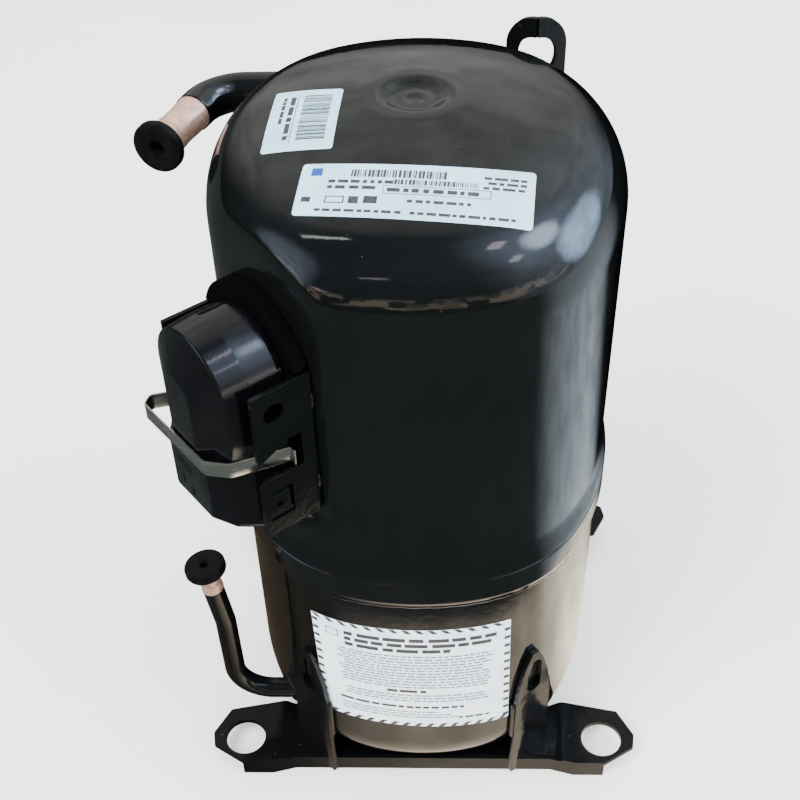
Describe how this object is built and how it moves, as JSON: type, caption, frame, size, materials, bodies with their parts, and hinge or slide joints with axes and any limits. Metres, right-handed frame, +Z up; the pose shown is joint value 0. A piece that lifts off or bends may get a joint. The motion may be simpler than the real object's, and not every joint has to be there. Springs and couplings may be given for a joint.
{
  "type": "hermetic reciprocating compressor",
  "caption": "Welded steel can on base rails with a clipped terminal cover, plugged suction and discharge stubs, and a spring-hung piston pump and motor inside.",
  "frame": {"origin": "on the ground under the middle of the can, at the centre of the four mounting holes", "axes": "+Z up along the crankshaft, -Y towards the front, +X to the right seen from the front, with the terminal cover at the front left"},
  "size_m": [0.2932, 0.2673, 0.4214],
  "materials": {
    "black_foam": "matte black foam",
    "black_paint": "glossy black enamel",
    "black_plastic": "satin black moulding",
    "black_rubber": "matte black rubber",
    "bronze": "bearing bronze",
    "copper": "brushed copper, slightly tarnished",
    "die_cast": "die cast",
    "enamel_wire": "varnished copper wire",
    "gasket_grey": "fibre gasket",
    "iron": "as cast and machined",
    "label_white": "printed white film",
    "lamination": "stacked sheet edges",
    "lead_sleeve": "woven sleeve",
    "phenolic": "moulded phenolic",
    "sealing_glass": "fired sealing glass",
    "sintered": "ground",
    "spring_steel": "bright spring steel",
    "steel": "machined steel",
    "weld": "glossy black enamel over a rippled bead",
    "zinc": "bright zinc"
  },
  "bodies": {
    "housing": {"upper_shell": "black_paint", "lower_shell": "black_paint", "seam_weld": "weld", "front_base_rail": "black_paint", "rear_base_rail": "black_paint", "lifting_lug": "black_paint", "suction_tube": "black_paint", "suction_stub": "copper", "discharge_tube": "black_paint", "discharge_stub": "copper", "terminal_body": "black_paint", "terminal_glass": "sealing_glass", "terminal_pins": "zinc", "near_cover_bracket": "black_paint", "far_cover_bracket": "black_paint", "barcode_label": "label_white", "rating_label": "label_white", "notice_label": "label_white", "spring_seats": "steel", "suspension_springs": "steel", "discharge_loop": "steel", "lead_plug": "phenolic"},
    "pump_frame": {"crankcase": "iron", "lower_bearing_plate": "iron", "main_bush": "bronze", "lower_bush": "bronze", "bearing_plate_screws": "steel", "head_gaskets": "gasket_grey", "head_screws": "steel", "rear_valve_plate": "steel", "rear_head": "die_cast", "front_valve_plate": "steel", "front_head": "die_cast", "stator_core": "lamination", "stator_winding": "enamel_wire", "stator_screws": "steel", "motor_protector": "phenolic", "discharge_muffler": "steel", "motor_leads": "lead_sleeve"},
    "shaft": {"crankshaft": "steel", "lower_counterweight": "iron", "upper_counterweight": "zinc", "rotor_core": "lamination", "rotor_cage": "die_cast", "oil_pickup": "zinc"},
    "slider": {"slider_block": "bronze"},
    "thrust_ring": {"yoke_thrust_ring": "bronze"},
    "yoke_set": {"yoke": "sintered", "rear_piston": "die_cast", "front_piston": "die_cast", "piston_rings": "sintered"},
    "rear_inlet_leaf": {"rear_suction_reed": "spring_steel"},
    "rear_outlet_leaf": {"rear_discharge_reed": "spring_steel"},
    "front_inlet_leaf": {"front_suction_reed": "spring_steel"},
    "front_outlet_leaf": {"front_discharge_reed": "spring_steel"},
    "cover": {"terminal_cover": "black_plastic", "terminal_gasket": "black_foam"},
    "bail": {"cover_bail": "spring_steel"},
    "suction_cap": {"suction_plug": "black_rubber"},
    "discharge_cap": {"discharge_plug": "black_rubber"}
  },
  "joints": [
    {"name": "pump_float", "type": "slide", "parent": "housing", "child": "pump_frame", "axis": [0, 0, 1], "range_m": [-0.003, 0.003], "stiffness_N_per_m": 20000, "deforming": ["suspension_springs", "discharge_loop"]},
    {"name": "crank_spin", "type": "hinge", "parent": "pump_frame", "child": "shaft", "pos_m": [0, 0, 0.112], "axis": [0, 0, 1], "continuous": true},
    {"name": "slider_turn", "type": "hinge", "parent": "shaft", "child": "slider", "pos_m": [0.011, 0, 0.112], "axis": [0, 0, 1], "continuous": true},
    {"name": "ring_turn", "type": "hinge", "parent": "shaft", "child": "thrust_ring", "pos_m": [0.0055, 0, 0.112], "axis": [0, 0, 1], "continuous": true},
    {"name": "yoke_drive", "type": "hinge", "parent": "thrust_ring", "child": "yoke_set", "pos_m": [0, 0, 0.112], "axis": [0, 0, 1], "continuous": true},
    {"name": "rear_inlet_lift", "type": "hinge", "parent": "pump_frame", "child": "rear_inlet_leaf", "pos_m": [-0.003, 0.07364, 0.112], "axis": [0, 0, -1], "range_deg": [0, 2.5]},
    {"name": "rear_outlet_lift", "type": "hinge", "parent": "pump_frame", "child": "rear_outlet_leaf", "pos_m": [0.001, 0.07725, 0.112], "axis": [0, 0, -1], "range_deg": [0, 6]},
    {"name": "front_inlet_lift", "type": "hinge", "parent": "pump_frame", "child": "front_inlet_leaf", "pos_m": [-0.003, -0.07364, 0.112], "axis": [0, 0, 1], "range_deg": [0, 2.5]},
    {"name": "front_outlet_lift", "type": "hinge", "parent": "pump_frame", "child": "front_outlet_leaf", "pos_m": [0.001, -0.07725, 0.112], "axis": [0, 0, 1], "range_deg": [0, 6]},
    {"name": "bail_pull", "type": "slide", "parent": "housing", "child": "bail", "axis": [-0.766, -0.6428, 0], "range_m": [0, 0.06]},
    {"name": "cover_pull", "type": "slide", "parent": "housing", "child": "cover", "axis": [-0.766, -0.6428, 0], "range_m": [0, 0.036]},
    {"name": "suction_plug_pull", "type": "slide", "parent": "housing", "child": "suction_cap", "axis": [-0.342, -0.9397, 0], "range_m": [0, 0.03]},
    {"name": "discharge_plug_pull", "type": "slide", "parent": "housing", "child": "discharge_cap", "axis": [-0.1289, 0, 0.9917], "range_m": [0, 0.03]}
  ],
  "couplings": [
    {"joint": "slider_turn", "follows": "crank_spin", "ratio": -1},
    {"joint": "ring_turn", "follows": "crank_spin", "ratio": -2},
    {"joint": "yoke_drive", "follows": "crank_spin", "ratio": 1},
    {"joint": "cover_pull", "follows": "bail_pull", "ratio": 0.6}
  ]
}
